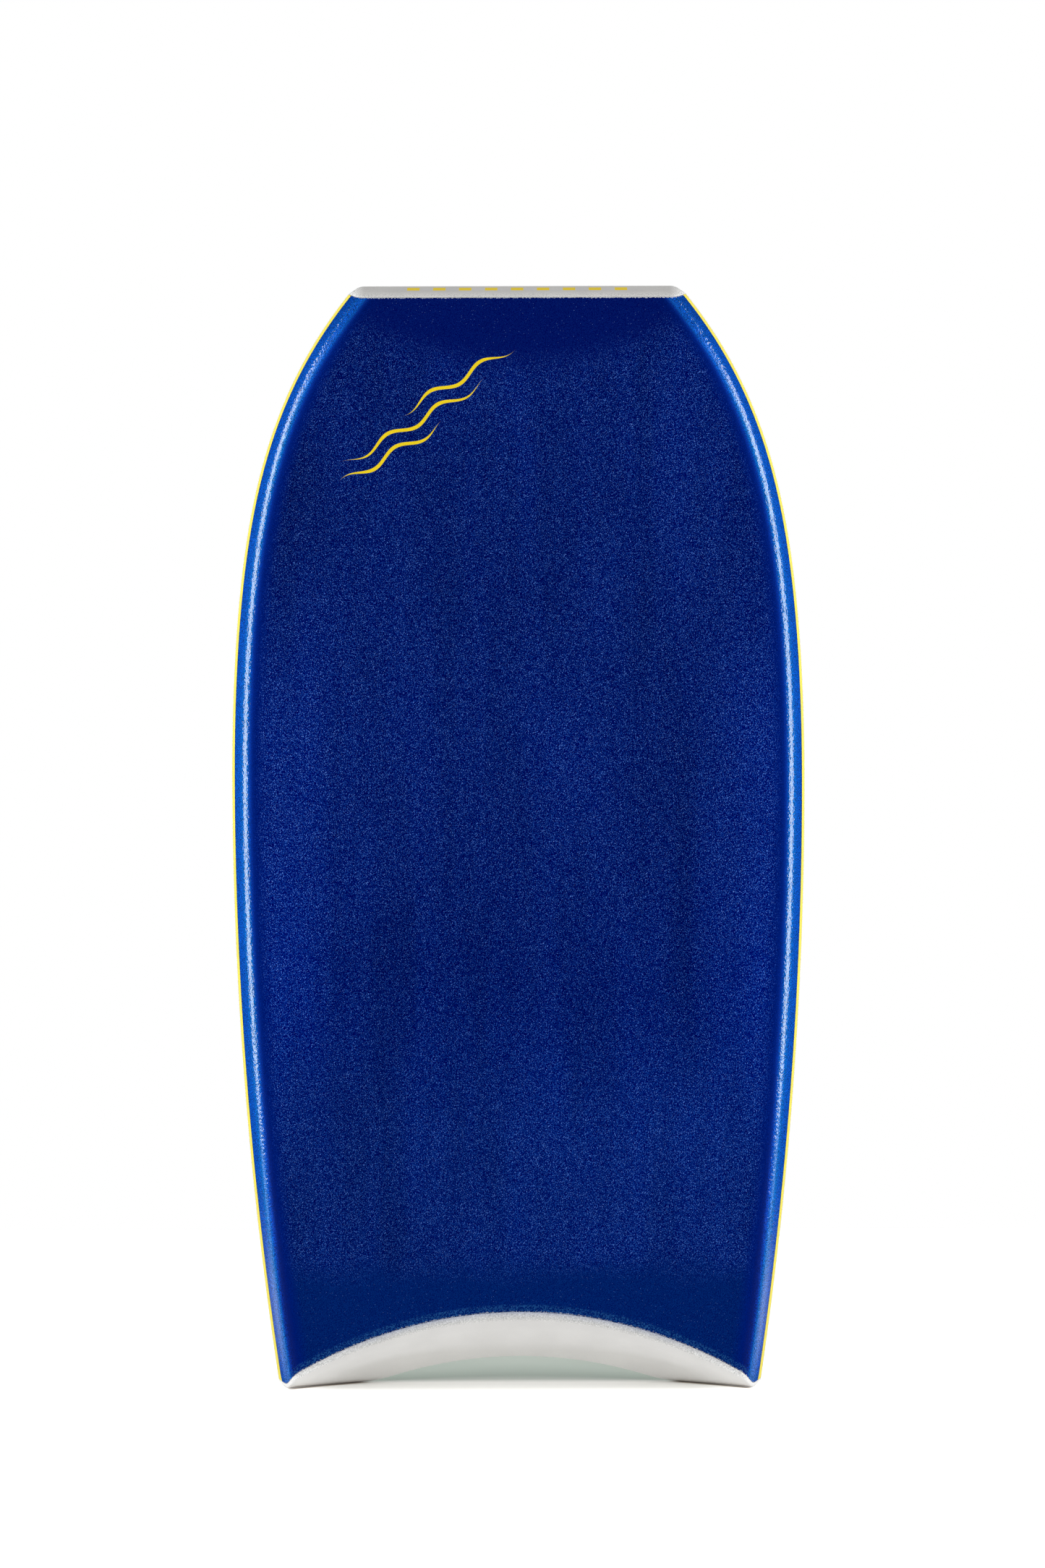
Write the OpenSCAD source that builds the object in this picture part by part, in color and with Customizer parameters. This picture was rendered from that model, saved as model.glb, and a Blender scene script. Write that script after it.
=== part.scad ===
// Bodyboard, standing on its tail. It is a glued foam laminate with bevelled rails, a crescent tail
// cut on a slant, a curved nose and a stiffening tube in its core.
// X runs across the board, Y through it with the deck on the negative side, and Z up its length.
// The origin is under the middle of the board, level with the two flat feet of the tail.

/* [Outline] */
// Length from the tail feet to the top of the nose
board_length = 1067; // [960:1:1140]
// Width at the widest point
board_width = 557; // [520:1:600]
// Width across the rails at the tail feet
tail_width = 467; // [430:1:510]
// Width across the rails at the nose seam
nose_width = 326; // [280:1:370]
// Height of the widest point above the tail feet
wide_point = 594; // [520:1:650]
// Share of the narrowing towards the nose that is spread over the whole way
nose_spread = 0.44; // [0.3:0.01:0.7]
// How late the rest of the narrowing comes: more makes fuller shoulders near the tip
nose_shoulder = 4.5; // [3.5:0.1:6]

/* [Thickness and rocker] */
// Thickness of the flat run
board_thickness = 55; // [50:1:62]
// Thickness at the tail feet
tail_thickness = 52; // [42:1:55]
// Length of the tail over which the deck falls away
tail_taper = 170; // [130:1:240]
// Thickness at the nose seam
nose_thickness = 38; // [34:1:46]
// Length of the curved nose
rocker_run = 330; // [260:1:420]
// How far the slick has risen at the nose seam
nose_lift = 46; // [25:1:65]
// How late the nose curves: 2 is an even bend, and more bends closer to the tip
rocker_power = 2.5; // [2:0.1:3]

/* [Rails] */
// Width of the bevel between the deck and the widest line, on the flat run
chine_width = 15; // [13:0.5:18]
// Depth of the bevel on the flat run
chine_depth = 22; // [18:0.5:25]
// Radius where the deck rolls over into the bevel, on the flat run
ridge_radius = 18; // [12:0.5:20]
// Height of the coloured pinline strip, which shows on the bevel
pinline_height = 2.2; // [1.5:0.1:5]
// Height of the outer rail's shoulder, between the widest line and the pinline
rail_lip = 0.5; // [0.4:0.1:1.5]
// How far the lower rail draws in on its way to the slick, on the flat run
rail_tuck = 13; // [8:0.5:18]

/* [Laminate] */
// Thickness of the deck foam
deck_skin_t = 4; // [3:0.1:5]
// Thickness of the outer rail strip
outer_rail_t = 5; // [4:0.1:6]
// Thickness of the inner rail strip
inner_rail_t = 5; // [4:0.1:6]
// Thickness of the plastic slick
slick_t = 1.5; // [1:0.1:2.5]
// Thickness of the foam sheet behind the slick
backing_t = 3; // [2:0.1:4]
// Thickness of the flex mesh
mesh_t = 1; // [0.6:0.1:1.5]
// Width of a strand of the flex mesh
mesh_strand = 8; // [6:0.5:14]
// Distance between neighbouring openings of the flex mesh across the board
mesh_pitch = 64; // [56:1:80]
// Glue line left between neighbouring pieces
bond = 0.2; // [0.1:0.05:0.3]

/* [Nose] */
// Thickness of the nose bumper
nose_bumper_t = 5; // [4:0.1:8]
// How far the bumper is rounded over towards the deck and the slick
nose_round = 7; // [4:0.5:10]
// How far the bumper is rounded over towards the rails, beyond the slope of the outline
nose_corner = 13; // [8:0.5:20]

/* [Tail] */
// Height of the crescent above the feet, at the deck
crescent_depth = 70; // [50:1:90]
// Width of the crescent between the feet, at the deck
crescent_chord = 470; // [440:1:490]
// Slant of the crescent wall, which reaches further down at the slick
tail_bevel = 40; // [25:1:45]
// Thickness of the tail bumper
tail_bumper_t = 4; // [3:0.1:6]

/* [Stringer] */
// Outer diameter of the stiffening tube
stringer_d = 12.7; // [8:0.1:16]
// Wall of the stiffening tube
stringer_wall = 1.2; // [0.8:0.1:2]
// How far the stiffening tube runs past the start of the curved nose
stringer_reach = 115; // [0:1:150]
// Height of the lower end of the tube above the tail feet
stringer_z = 90; // [80:1:110]
// Length of a plug's head, and of its spigot in the tube
plug_length = 12; // [8:1:20]

/* [Hidden] */
$fn = 96;

foam_blue = [0.03, 0.16, 0.52];
foam_white = [0.86, 0.86, 0.85];
foam_yellow = [0.96, 0.84, 0.10];
slick_mint = [0.56, 0.80, 0.70];

// Steps of the loft along the tail, the flat run and the nose, and round the ridge and the nose bumper
tail_steps = 4;
run_steps = 7;
nose_steps = 14;
ridge_steps = 5;
bumper_steps = 6;

// Rail strips, counted inwards from the pinline: where each one starts
inner_rail_in = outer_rail_t + bond;
core_in = inner_rail_in + inner_rail_t + bond;

// Layers, counted up from the slick's outer face: where each one starts
backing_n = slick_t + bond;
mesh_n = backing_n + backing_t + bond;
core_n = mesh_n + mesh_t + bond;
core_d = deck_skin_t + bond;

// The nose seam is square to the curved board, so it leans forward by the slope of the nose there
nose_tilt = atan(rocker_power * nose_lift / rocker_run);
round_up = nose_round * sin(nose_tilt);
round_out = nose_round * cos(nose_tilt);
bumper_up = nose_bumper_t * cos(nose_tilt);
bumper_out = nose_bumper_t * sin(nose_tilt);
seam_z = board_length - norm([bumper_up, round_up]) + round_up;
rocker_z = seam_z - rocker_run;

// The whole board is as deep as its lifted nose, and the origin is in the middle of that depth
nose_reach = nose_lift + nose_thickness * cos(nose_tilt) - round_out + norm([round_out, bumper_out]);
slick_y = nose_reach / 2;

// A round cutter on a slant gives the crescent its arc at the deck and a lower arc at the slick
crescent_sag = crescent_depth * cos(tail_bevel);
crescent_r = (pow(crescent_chord / 2, 2) + pow(crescent_sag, 2)) / (2 * crescent_sag);

stringer_y = slick_y - board_thickness / 2;
stringer_top = rocker_z + stringer_reach;
stringer_length = stringer_top - stringer_z;

stations = concat(
    [for (i = [0:tail_steps]) tail_taper * i / tail_steps],
    [for (i = [1:run_steps]) tail_taper + (rocker_z - tail_taper) * i / run_steps],
    [for (i = [1:nose_steps]) rocker_z + rocker_run * i / nose_steps]
);
tail_stations = [for (z = stations) if (z <= tail_taper) z];

// How far into the curved nose, or into the tail's taper, a height lies, from 0 to 1
function nose_share(z) = max(0, (z - rocker_z) / rocker_run);
function tail_share(z) = max(0, (tail_taper - z) / tail_taper);

// Lift and slope of the slick, thickness and half width of the board at a height on the slick
function lift(z) = nose_lift * pow(nose_share(z), rocker_power);
function slope(z) = atan(rocker_power * nose_lift / rocker_run * pow(nose_share(z), rocker_power - 1));
function thickness(z) = board_thickness
    - (board_thickness - tail_thickness) * pow(tail_share(z), 2)
    - (board_thickness - nose_thickness) * pow(nose_share(z), 2);
function half_width(z) = z < wide_point
    ? board_width / 2 - (board_width - tail_width) / 2 * pow((wide_point - z) / wide_point, 2)
    : board_width / 2 - (board_width - nose_width) / 2 * narrowing((z - wide_point) / (seam_z - wide_point));
function narrowing(s) = nose_spread * pow(s, 2) + (1 - nose_spread) * pow(s, nose_shoulder);
// How fast the outline draws in at the nose seam
nose_lean = (board_width - nose_width) / 2 / (seam_z - wide_point)
    * (2 * nose_spread + (1 - nose_spread) * nose_shoulder);

// Puts a section's point, across the board and up from the slick, at its place in space
function place(p, z, rise = 0) = let (a = slope(z)) [
    p.x,
    slick_y - lift(z) - p.y * cos(a) - rise * sin(a),
    z - p.y * sin(a) + rise * cos(a)
];

// The bevel and its roll keep their share of the thickness where the board gets thinner,
// and the lower rail draws in less there
chine_angle = atan2(chine_depth, chine_width);
function chine_fall(t) = chine_depth * t / board_thickness;
function chine_run(t) = chine_width * t / board_thickness;
function ridge(t) = ridge_radius * t / board_thickness;
function tuck(t) = rail_tuck * pow(t / board_thickness, 2);

// Heights on the bevel, up from the widest line: the rail's shoulder, the pinline and the deck's end
function apex(t) = t - chine_fall(t);
function rail_top(t) = apex(t) + rail_lip;
function pin_low(t) = rail_top(t) + bond;
function pin_top(t) = pin_low(t) + pinline_height;
function deck_end(t) = pin_top(t) + bond;

// Where the bevel, d below its surface, and the drawn-in lower rail lie at a height
function bevel_x(w, t, d, n) = w - d / sin(chine_angle) - (n - apex(t)) / tan(chine_angle);
function rail_x(w, t, n) = w - tuck(t) * (1 - n / apex(t));

// Where a line along the lower rail, a distance in from it, meets the underside of the bevel
function strip_top(t, d, inset) = apex(t)
    + (inset - d / sin(chine_angle)) / (1 / tan(chine_angle) + tuck(t) / apex(t));
function strip_end(w, t, d, inset) = let (n = strip_top(t, d, inset)) [rail_x(w, t, n) - inset, n];

// Right half of the deck's line, d below its surface: the roll of the ridge, then the bevel to its end
function deck_half(w, t, d, end) = let (
    x = w - chine_run(t) - ridge(t) * tan(chine_angle / 2),
    r = ridge(t) - d
) concat(
    [
        for (i = [0:ridge_steps])
        let (q = chine_angle * i / ridge_steps)
        [x + r * sin(q), t - ridge(t) + r * cos(q)]
    ],
    [end]
);
function bevel_point(w, t, d, n) = [bevel_x(w, t, d, n), n];
function skin_half(w, t, d) = deck_half(w, t, d, bevel_point(w, t, d, deck_end(t)));
function both_halves(half) = concat([for (i = [len(half) - 1:-1:0]) [-half[i].x, half[i].y]], half);
function across(half, n, count) = [for (i = [0:count - 1]) [half * (2 * i / (count - 1) - 1), n]];

// Sections, each as an upper and a lower line with as many points
function section(upper, low_half, low_n) = [upper, across(low_half, low_n, len(upper))];
function body_section(w, t, inset = 0) = let (
    upper = both_halves(deck_half(w, t, 0, [w, apex(t)]))
) [for (line = section(upper, w - tuck(t), 0)) [for (p = line) p + [0, inset]]];
function deck_section(w, t) = [both_halves(skin_half(w, t, 0)), both_halves(skin_half(w, t, deck_skin_t))];
function core_section(w, t) = section(
    both_halves(deck_half(w, t, core_d, strip_end(w, t, core_d, core_in))),
    rail_x(w, t, core_n) - core_in,
    core_n
);
function sheet_section(w, t, n, thick, inset) = [
    across(rail_x(w, t, n + thick) - inset, n + thick, 2),
    across(rail_x(w, t, n) - inset, n, 2)
];
function strip_line(w, t, inset) = [
    strip_end(w, t, core_d, inset),
    [rail_x(w, t, backing_n) - inset, backing_n]
];
function inner_rail_section(w, t) = [
    strip_line(w, t, inner_rail_in + inner_rail_t),
    strip_line(w, t, inner_rail_in)
];
function rail_section(w, t) = [
    [for (n = [rail_top(t), apex(t), backing_n]) [rail_x(w, t, n) - outer_rail_t, n]],
    [bevel_point(w, t, 0, rail_top(t)), [w, apex(t)], [rail_x(w, t, backing_n), backing_n]]
];
function pinline_section(w, t) = [
    for (n = [pin_top(t), pin_low(t)])
    [for (d = [deck_skin_t, 0]) bevel_point(w, t, d, n)]
];

function ring(lines, z, rise = 0) = [for (line = lines) for (p = line) place(p, z, rise)];

// Solid through a row of rings, each an upper line followed by a lower line
module loft(rings) {
    size = len(rings[0]);
    half = size / 2;
    loop = concat([for (j = [0:half - 1]) j], [for (j = [size - 1:-1:half]) j]);
    last = (len(rings) - 1) * size;
    sides = [
        for (i = [0:len(rings) - 2], j = [0:size - 1])
        let (p = i * size + loop[j], q = i * size + loop[(j + 1) % size])
        each [[p, p + size, q + size], [p, q + size, q]]
    ];
    low_cap = [for (j = [0:half - 2]) each [[j, j + 1, half + j + 1], [j, half + j + 1, half + j]]];
    top_cap = [for (f = low_cap) [f[2] + last, f[1] + last, f[0] + last]];
    polyhedron([for (r = rings) each r], concat(sides, low_cap, top_cap));
}

// Everything that the tail is cut off by: the floor under the feet and the slanted crescent,
// both moved into the board by a distance
module tail_cut(depth) {
    reach = board_width + board_thickness;
    translate([-reach / 2, -reach / 2, depth - reach])
        cube(reach);
    translate([0, slick_y - thickness(crescent_depth), crescent_depth])
        rotate([90 - tail_bevel, 0, 0])
            translate([0, -crescent_r, 0])
                cylinder(r = crescent_r + depth, h = 6 * board_thickness, center = true);
}

// A layer that ends at the nose seam and behind the tail bumper
module layer(rings) {
    difference() {
        loft(rings);
        tail_cut(tail_bumper_t + bond);
    }
}

module core() {
    bore_top = stringer_top + plug_length + bond;
    color("ivory")
        difference() {
            loft([for (z = stations) ring(core_section(half_width(z), thickness(z)), z)]);
            tail_cut(tail_bumper_t + bond);
            translate([0, stringer_y, 0])
                cylinder(d = stringer_d + 2 * bond, h = bore_top);
        }
}

module stringer_tube() {
    color("dimgray")
        translate([0, stringer_y, stringer_z])
            difference() {
                cylinder(d = stringer_d, h = stringer_length);
                translate([0, 0, -1])
                    cylinder(d = stringer_d - 2 * stringer_wall, h = stringer_length + 2);
            }
}

// Head as wide as the tube, with a spigot that stands up from it into the tube
module plug(head) {
    cylinder(d = stringer_d, h = head);
    cylinder(d = stringer_d - 2 * stringer_wall - 2 * bond, h = head + plug_length);
}

module stringer_nose_plug() {
    color("darkslategray")
        translate([0, stringer_y, stringer_top + plug_length])
            mirror([0, 0, 1])
                plug(plug_length);
}

module stringer_tail_plug() {
    color("darkslategray")
        difference() {
            translate([0, stringer_y, 0])
                plug(stringer_z);
            tail_cut(tail_bumper_t + bond);
        }
}

module inner_rail() {
    color("lightgray")
        layer([for (z = stations) ring(inner_rail_section(half_width(z), thickness(z)), z)]);
}

module rail() {
    color(foam_white)
        layer([for (z = stations) ring(rail_section(half_width(z), thickness(z)), z)]);
}

module pinline() {
    color(foam_yellow)
        layer([for (z = stations) ring(pinline_section(half_width(z), thickness(z)), z)]);
}

// Staggered diamond openings that keep clear of the mesh's edges
module mesh_openings() {
    half_diagonal = (mesh_pitch - mesh_strand * sqrt(2)) / 2;
    rows = floor(2 * seam_z / mesh_pitch);
    columns = ceil(board_width / mesh_pitch);
    edge = core_in + rail_tuck + mesh_strand;
    for (j = [0:rows], i = [-columns:columns]) {
        x = (i + (j % 2) / 2) * mesh_pitch;
        z = j * mesh_pitch / 2;
        above_crescent = z - half_diagonal > crescent_depth;
        below_nose = z + half_diagonal < seam_z - mesh_pitch / 2;
        inside = abs(x) + half_diagonal < half_width(z + half_diagonal) - edge;
        if (above_crescent && below_nose && inside)
            translate([x, slick_y, z])
                rotate([90, 0, 0])
                    cylinder(r = half_diagonal, h = nose_reach, $fn = 4);
    }
}

module slick_mesh() {
    color("gray")
        difference() {
            loft([for (z = stations) ring(sheet_section(half_width(z), thickness(z), mesh_n, mesh_t, core_in), z)]);
            tail_cut(tail_bumper_t + bond);
            mesh_openings();
        }
}

module slick_backing() {
    color("gainsboro")
        layer([
            for (z = stations)
            ring(sheet_section(half_width(z), thickness(z), backing_n, backing_t, core_in), z)
        ]);
}

module slick() {
    color(slick_mint)
        layer([for (z = stations) ring(sheet_section(half_width(z), thickness(z), 0, slick_t, 0), z)]);
}

module deck_skin() {
    color(foam_blue)
        layer([for (z = stations) ring(deck_section(half_width(z), thickness(z)), z)]);
}

// A pad that carries on the outline's slope and whose section shrinks along a quarter of an ellipse
module nose_bumper() {
    color(foam_white)
        loft([
            for (i = [0:bumper_steps])
            let (
                q = 90 * i / bumper_steps,
                rise = bond + (nose_bumper_t - bond) * sin(q),
                drawn_in = 1 - cos(q),
                w = half_width(seam_z) - nose_lean * rise - nose_corner * drawn_in,
                inset = nose_round * drawn_in
            )
            ring(body_section(w, nose_thickness - 2 * inset, inset), seam_z, rise)
        ]);
}

module tail_bumper() {
    color(foam_white)
        intersection() {
            difference() {
                loft([for (z = tail_stations) ring(body_section(half_width(z), thickness(z)), z)]);
                tail_cut(0);
            }
            tail_cut(tail_bumper_t);
        }
}

core();
stringer_tube();
stringer_nose_plug();
stringer_tail_plug();
mirror([1, 0, 0]) inner_rail();  // inner_rail_left
inner_rail();  // inner_rail_right
mirror([1, 0, 0]) rail();  // rail_left
rail();  // rail_right
mirror([1, 0, 0]) pinline();  // pinline_left
pinline();  // pinline_right
slick_mesh();
slick_backing();
slick();
deck_skin();
nose_bumper();
tail_bumper();
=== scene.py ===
# %% [markdown]
# # A foam bodyboard on a white sweep
# The board is a glued laminate: a blue deck skin that rolls over the bevelled rails, a yellow pinline
# and a white rail strip along each side, a white pad on the nose, another on the crescent tail, and a
# glossy plastic slick on the back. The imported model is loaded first, because every piece made here
# has to lie where the solid it dresses lies.

# %% Load the frame and keep its box
import functools
import math

import bpy
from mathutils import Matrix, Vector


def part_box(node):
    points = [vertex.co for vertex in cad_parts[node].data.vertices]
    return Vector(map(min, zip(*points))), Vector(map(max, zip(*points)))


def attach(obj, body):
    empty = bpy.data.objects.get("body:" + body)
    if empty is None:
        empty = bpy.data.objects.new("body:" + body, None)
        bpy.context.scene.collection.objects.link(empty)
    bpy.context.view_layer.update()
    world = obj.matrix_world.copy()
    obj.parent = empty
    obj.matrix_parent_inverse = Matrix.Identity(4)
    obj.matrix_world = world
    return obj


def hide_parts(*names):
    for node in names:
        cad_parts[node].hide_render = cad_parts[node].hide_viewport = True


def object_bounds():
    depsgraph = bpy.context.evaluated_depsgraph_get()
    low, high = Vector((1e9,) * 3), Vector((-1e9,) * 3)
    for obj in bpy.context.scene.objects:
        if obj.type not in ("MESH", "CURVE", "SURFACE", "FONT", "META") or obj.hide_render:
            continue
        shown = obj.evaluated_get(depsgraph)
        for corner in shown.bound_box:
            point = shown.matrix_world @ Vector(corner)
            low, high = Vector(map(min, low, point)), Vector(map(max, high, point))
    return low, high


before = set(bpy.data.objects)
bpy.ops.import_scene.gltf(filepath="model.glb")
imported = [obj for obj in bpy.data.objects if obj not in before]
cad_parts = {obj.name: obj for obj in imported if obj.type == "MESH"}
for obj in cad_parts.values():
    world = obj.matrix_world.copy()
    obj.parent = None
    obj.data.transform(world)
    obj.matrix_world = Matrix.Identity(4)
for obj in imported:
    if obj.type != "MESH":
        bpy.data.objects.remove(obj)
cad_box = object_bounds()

print("CAD box:", [[round(c, 4) for c in corner] for corner in cad_box])

# %% [markdown]
# ## The board's sizes
# Length, width and depth come from the frame's own box. The rest are the sizes of the laminate, in
# metres: they are written once here, and every surface below is worked out from them.

# %% Sizes
slick_y = cad_box[1].y
board_length = cad_box[1].z
half_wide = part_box("rail_right")[1].x

tail_half = 0.2335
nose_half = 0.163
wide_point = 0.594
nose_spread = 0.44
nose_shoulder = 4.5

flat_thickness = 0.055
tail_thickness = 0.052
tail_taper = 0.170
nose_thickness = 0.038
rocker_run = 0.330
nose_lift = 0.046
rocker_power = 2.5

chine_width = 0.015
chine_depth = 0.022
ridge_radius = 0.018
rail_lip = 0.0005
pinline_height = 0.0034
rail_tuck = 0.013

deck_t = 0.004
rail_t = 0.005
slick_t = 0.0015
bond = 0.0002

nose_pad_t = 0.0044
nose_round = 0.007
nose_corner = 0.013

crescent_depth = 0.070
crescent_chord = 0.470
tail_bevel = math.radians(40)
tail_pad_t = 0.004
crease = 0.006
foot_corner = 0.0055
foot_reach = 0.010
print("board of", round(board_length, 3), "by", round(2 * half_wide, 3), "by", flat_thickness, "m")

# %% Sizes worked out from these
nose_tilt = math.atan(rocker_power * nose_lift / rocker_run)
round_up = nose_round * math.sin(nose_tilt)
seam_z = board_length - math.hypot(nose_pad_t * math.cos(nose_tilt), round_up) + round_up
rocker_z = seam_z - rocker_run
layer_gap = tail_pad_t + bond
nose_lean = (half_wide - nose_half) / (seam_z - wide_point)
nose_lean *= 2 * nose_spread + (1 - nose_spread) * nose_shoulder

crescent_sag = crescent_depth * math.cos(tail_bevel)
crescent_radius = ((crescent_chord / 2) ** 2 + crescent_sag ** 2) / (2 * crescent_sag)
print("nose seam at", round(seam_z, 4), "and crescent radius", round(crescent_radius, 4))

# %% [markdown]
# ## The camera
# The photograph was taken from the front, level with the middle of the board, with a long lens from
# almost four metres away. The camera comes before the pieces, so that every test render is seen from
# the same place as the photograph. A long lens from far away keeps the sides nearly parallel.

# %% Camera
camera_place = (0.004, -3.814, 0.5855)
camera_roll = math.radians(0.14)
camera_lens = 90.3

bpy.ops.object.select_all(action="DESELECT")
bpy.ops.object.camera_add(location=camera_place, rotation=(math.pi / 2, camera_roll, 0))
camera = bpy.context.object
camera.name = "photo_camera"
camera.data.lens = camera_lens
camera.data.sensor_width = 36
bpy.context.scene.camera = camera
print("camera", camera_lens, "mm at", camera_place)

# %% [markdown]
# ## The rules of the outline, the rocker and the section
# A shaper works with templates: one for the outline, one for the rocker, one for the section of the
# rail. Here each template is a small function of z, the height on the standing board, and in them w is
# the half width, t the thickness and n a height above the slick. Moving points by hand with
# proportional editing could give a similar sheet, but two neighbouring sheets would never meet in an
# even seam, so the templates place every point instead.

# %% Outline, rocker and thickness
def nose_share(z):
    """How far into the curved nose a height lies, from 0 to 1."""
    return max(0.0, (z - rocker_z) / rocker_run)


def tail_share(z):
    """How far into the tapered tail a height lies, from 0 to 1."""
    return max(0.0, (tail_taper - z) / tail_taper)


def lift(z):
    """How far the slick has come forward at a height."""
    return nose_lift * nose_share(z) ** rocker_power


def slope(z):
    """Lean of the board at a height, which is upright on the flat run."""
    return math.atan(rocker_power * nose_lift / rocker_run * nose_share(z) ** (rocker_power - 1))


def thickness(z):
    """From the slick to the deck."""
    thinner_tail = (flat_thickness - tail_thickness) * tail_share(z) ** 2
    thinner_nose = (flat_thickness - nose_thickness) * nose_share(z) ** 2
    return flat_thickness - thinner_tail - thinner_nose


def half_width(z):
    """From the middle to the widest line of the rail."""
    if z < wide_point:
        return half_wide - (half_wide - tail_half) * ((wide_point - z) / wide_point) ** 2
    share = (z - wide_point) / (seam_z - wide_point)
    narrowing = nose_spread * share ** 2 + (1 - nose_spread) * share ** nose_shoulder
    return half_wide - (half_wide - nose_half) * narrowing


def place(x, n, z, rise=0.0):
    """A point of the section, n above the slick, at its place in space."""
    a = slope(z)
    y = slick_y - lift(z) - n * math.cos(a) - rise * math.sin(a)
    return (x, y, z - n * math.sin(a) + rise * math.cos(a))


print("half width at the tail, the wide point and the nose:",
      [round(half_width(z), 4) for z in (0, wide_point, seam_z)])

# %% Section of the rail
chine_angle = math.atan2(chine_depth, chine_width)


def chine_fall(t):
    """How far the bevel falls, which keeps its share of the thickness."""
    return chine_depth * t / flat_thickness


def chine_run(t):
    """How far the bevel reaches in from the widest line."""
    return chine_width * t / flat_thickness


def ridge(t):
    """Radius of the roll between the deck and the bevel."""
    return ridge_radius * t / flat_thickness


def tuck(t):
    """How far the lower rail draws in, which is less where the board is thin."""
    return rail_tuck * (t / flat_thickness) ** 2


def apex(t):
    """Height of the widest line of the rail above the slick."""
    return t - chine_fall(t)


def bevel_x(w, t, depth, n):
    """Where the bevel, a depth below its surface, lies at a height on the section."""
    return w - depth / math.sin(chine_angle) - (n - apex(t)) / math.tan(chine_angle)


def rail_x(w, t, n):
    """Where the drawn-in lower rail lies at a height on the section."""
    return w - tuck(t) * (1 - n / apex(t))


def pin_low(t):
    """Lower edge of the pinline on the bevel."""
    return apex(t) + rail_lip + bond


def pin_top(t):
    """Upper edge of the pinline on the bevel."""
    return pin_low(t) + pinline_height


print("slant of the bevel:", round(math.degrees(chine_angle), 1), "degrees")

# %% [markdown]
# ## The cut of the tail
# The crescent is cut on a slant, higher at the deck than at the slick, and the feet are cut flat. The
# real cut is one pass of a hot wire over a template. Where the two cuts meet, foam never keeps a sharp
# corner, so the higher of the two heights is taken with a small round blend. The outer corners of the
# feet are ground up a little, so that they don't catch.

# %% Height of the cut tail
crescent_y = slick_y - thickness(crescent_depth)
settle_rounds = 9


def soft_max(a, b, blend):
    """The larger of two heights, rounded over where they are closer than blend."""
    near = max(blend - abs(a - b), 0.0) / blend
    return max(a, b) + near * near * blend / 4


def corner_rise(x, gap):
    """How far the outer corners of the feet are ground up, which is less deep in the board."""
    share = min(1.0, max(0.0, 1 - (tail_half - abs(x)) / foot_reach))
    return share * share * (foot_corner - gap / 2)


def tail_height(x, y, gap):
    """Height of the cut over a place, moved into the board by gap."""
    reach = math.sqrt((crescent_radius + gap) ** 2 - x * x)
    wall = crescent_depth + (reach - crescent_radius) / math.cos(tail_bevel)
    wall -= (y - crescent_y) * math.tan(tail_bevel)
    return soft_max(wall, gap + corner_rise(x, gap), crease)


def on_the_cut(section, gap):
    """Height at which a line of the section, given as a function of z, meets the cut."""
    z = gap
    for _ in range(settle_rounds):
        x, n = section(z)
        z = tail_height(x, slick_y - n, gap)
    return z


print("crescent at the deck and at the slick:",
      [round(tail_height(0, y, 0), 4) for y in (crescent_y, slick_y)])

# %% [markdown]
# ## How a sheet becomes a piece
# Every layer starts as a grid, the sheet that a laminator would cut. Its points are moved to their
# place on the board, then the whole sheet is extruded by the thickness of the foam, and the far side
# is moved to its own place. Solidify could give the thickness, but its rim is always square to the
# sheet, and these layers are trimmed along the rail and on the slant of the tail.
# Two attributes, across and along, stay on the points, so that the finishes can follow the sheet.

# %% From a grid to a sheet
def set_attribute(piece, name, values):
    """Keeps one number for each point of the mesh."""
    layer = piece.data.attributes.get(name) or piece.data.attributes.new(name, "FLOAT", "POINT")
    layer.data.foreach_set("value", values)


def read_attribute(piece, name):
    """One number for each point of the mesh."""
    values = [0.0] * len(piece.data.vertices)
    piece.data.attributes[name].data.foreach_get("value", values)
    return values


def start_sheet(name, columns, rows, where):
    """A grid whose points lie where the rule where(across, along) puts them."""
    bpy.ops.object.select_all(action="DESELECT")
    bpy.ops.mesh.primitive_grid_add(x_subdivisions=columns, y_subdivisions=rows, size=2)
    piece = bpy.context.object
    piece.name = name
    piece.data.name = name
    set_attribute(piece, "across", [point.co.x for point in piece.data.vertices])
    set_attribute(piece, "along", [(point.co.y + 1) / 2 for point in piece.data.vertices])
    move_points(piece, where, piece.data.vertices)
    return piece


def move_points(piece, where, points):
    """Moves some points of a piece to where the rule puts them."""
    across = read_attribute(piece, "across")
    along = read_attribute(piece, "along")
    for point in points:
        point.co = where(across[point.index], along[point.index])


print("sheets keep across and along on their points")

# %% From a sheet to a closed piece
smooth_angle = math.radians(35)
trim_round = 0.0004


def extrude_to(piece, where):
    """Extrudes the selected sheet, and moves its far side to where the rule puts it."""
    bpy.ops.object.mode_set(mode="EDIT")
    bpy.ops.mesh.extrude_region_move(TRANSFORM_OT_translate={"value": (0, 0, 0)})
    bpy.ops.object.mode_set(mode="OBJECT")
    move_points(piece, where, [point for point in piece.data.vertices if point.select])


def close_outwards():
    """Turns every face of the closed piece that is active outwards."""
    bpy.ops.object.mode_set(mode="EDIT")
    bpy.ops.mesh.select_all(action="SELECT")
    bpy.ops.mesh.normals_make_consistent(inside=False)
    bpy.ops.object.mode_set(mode="OBJECT")


def soften_edges(piece, width, segments, by_weight=False):
    """Rounds the sharp or the weighted edges with a bevel, applies it, and smooths the shading."""
    bevel = piece.modifiers.new("soft_edges", "BEVEL")
    bevel.width = width
    bevel.segments = segments
    bevel.limit_method = "WEIGHT" if by_weight else "ANGLE"
    bevel.angle_limit = smooth_angle
    bpy.ops.object.modifier_apply(modifier=bevel.name)
    bpy.ops.object.shade_smooth_by_angle(angle=smooth_angle)


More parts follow.
